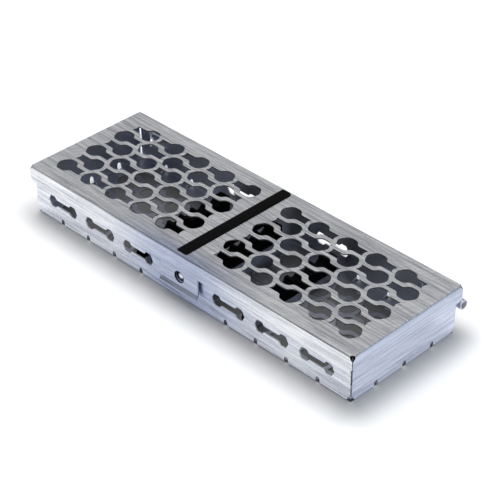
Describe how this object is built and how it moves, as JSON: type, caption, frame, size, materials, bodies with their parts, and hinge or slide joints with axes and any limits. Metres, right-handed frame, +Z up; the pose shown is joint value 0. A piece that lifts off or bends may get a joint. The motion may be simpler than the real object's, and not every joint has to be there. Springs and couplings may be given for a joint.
{
  "type": "dental instrument cassette",
  "caption": "Flat perforated steel case with a hinged lid, a spring latch tongue and notched silicone supports that hold hand instruments for washing and sterilising.",
  "frame": {"origin": "centre of the tray's flat underside, on the face that the case stands on", "axes": "+X along the case towards its right end seen from the latch, +Y from the latch side to the hinge side, +Z up through the lid"},
  "size_m": [0.272, 0.1002, 0.0344],
  "materials": {
    "brushed_steel": "brushed stainless steel, grain along the case",
    "lid_steel": "brushed stainless steel, grain along the case",
    "polished_steel": "turned and tumbled stainless steel",
    "black_silicone": "matt black silicone"
  },
  "bodies": {
    "tray": {"base_tray": "brushed_steel", "latch_stud": "polished_steel", "hinge_pin_left": "polished_steel", "hinge_pin_right": "polished_steel", "support_rail_left": "brushed_steel", "support_rail_centre": "brushed_steel", "support_rail_right": "brushed_steel", "support_rivets": "polished_steel", "silicone_support_left": "black_silicone", "silicone_support_centre": "black_silicone", "silicone_support_right": "black_silicone"},
    "lid": {"lid_cover": "lid_steel", "lid_silicone_bar": "black_silicone"},
    "latch": {"latch_tongue": "lid_steel"}
  },
  "joints": [
    {"name": "lid_hinge", "type": "hinge", "parent": "tray", "child": "lid", "pos_m": [0, 0.0489, 0.018], "axis": [-1, 0, 0], "range_deg": [0, 180]},
    {"name": "tongue_flex", "type": "hinge", "parent": "lid", "child": "latch", "pos_m": [0, -0.0465, 0.0229], "axis": [-1, 0, 0], "range_deg": [0, 10], "stiffness_Nm_per_rad": 0.4}
  ]
}
